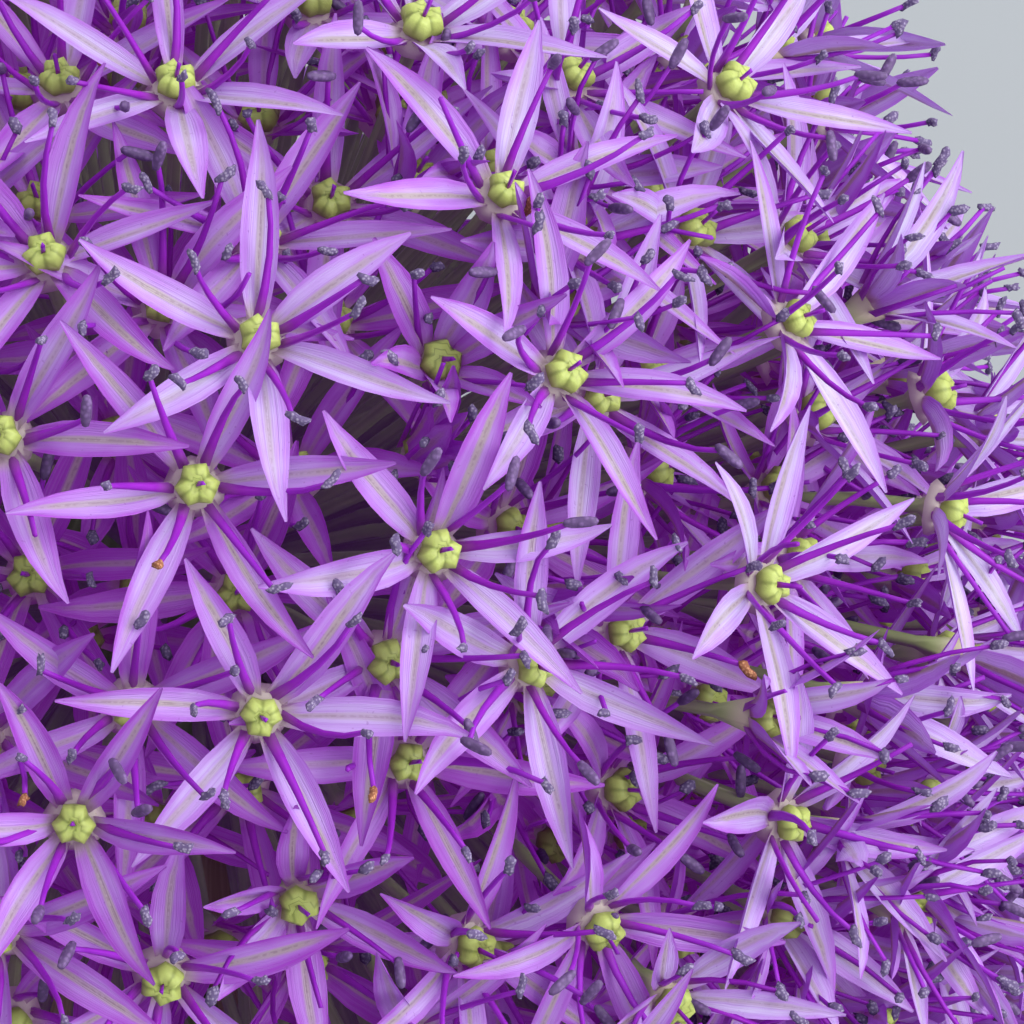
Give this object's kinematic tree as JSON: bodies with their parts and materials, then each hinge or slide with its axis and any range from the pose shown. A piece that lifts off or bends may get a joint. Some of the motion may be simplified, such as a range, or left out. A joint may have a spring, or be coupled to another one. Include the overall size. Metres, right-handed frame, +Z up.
{
  "type": "giant allium flower head",
  "caption": "Cut head of a giant ornamental onion: a ball of starry violet florets on thin green pedicels round the top of a stalk, lying on its side.",
  "frame": {"origin": "On the surface the head lies on, under the middle of its bounding box.", "axes": "+Z up from the surface, +Y from the cut end of the stalk towards the crown of the head, +X to the right seen from the stalk's end."},
  "size_m": [0.1434, 0.1978, 0.1403],
  "materials": {
    "floret": "soft satin petal, violet with a grey-green midrib, green below",
    "stalk": "smooth green flower stalk with a faint bloom",
    "bract": "dry papery spathe, thin and veined"
  },
  "bodies": {
    "root": {"stalk": "stalk", "papery_bract_1": "bract", "papery_bract_2": "bract", "papery_bract_3": "bract", "floret_spray_01": "floret", "floret_spray_02": "floret", "floret_spray_03": "floret", "floret_spray_04": "floret", "floret_spray_05": "floret", "floret_spray_06": "floret", "floret_spray_07": "floret", "floret_spray_08": "floret", "floret_spray_09": "floret", "floret_spray_10": "floret", "floret_spray_11": "floret", "floret_spray_12": "floret", "floret_spray_13": "floret", "floret_spray_14": "floret", "floret_spray_15": "floret", "floret_spray_16": "floret", "floret_spray_17": "floret", "floret_spray_18": "floret", "floret_spray_19": "floret", "floret_spray_20": "floret", "floret_spray_21": "floret", "floret_spray_22": "floret", "floret_spray_23": "floret", "floret_spray_24": "floret", "floret_spray_25": "floret", "floret_spray_26": "floret", "floret_spray_27": "floret", "floret_spray_28": "floret", "floret_spray_29": "floret", "floret_spray_30": "floret", "floret_spray_31": "floret", "floret_spray_32": "floret", "floret_spray_33": "floret", "floret_spray_34": "floret", "floret_spray_35": "floret", "floret_spray_36": "floret", "floret_spray_37": "floret", "floret_spray_38": "floret", "floret_spray_39": "floret", "floret_spray_40": "floret", "floret_spray_41": "floret", "floret_spray_42": "floret", "floret_spray_43": "floret", "floret_spray_44": "floret", "floret_spray_45": "floret", "floret_spray_46": "floret", "floret_spray_47": "floret", "floret_spray_48": "floret", "floret_spray_49": "floret", "floret_spray_50": "floret", "floret_spray_51": "floret", "floret_spray_52": "floret", "floret_spray_53": "floret", "floret_spray_54": "floret", "floret_spray_55": "floret", "floret_spray_56": "floret"}
  },
  "joints": []
}
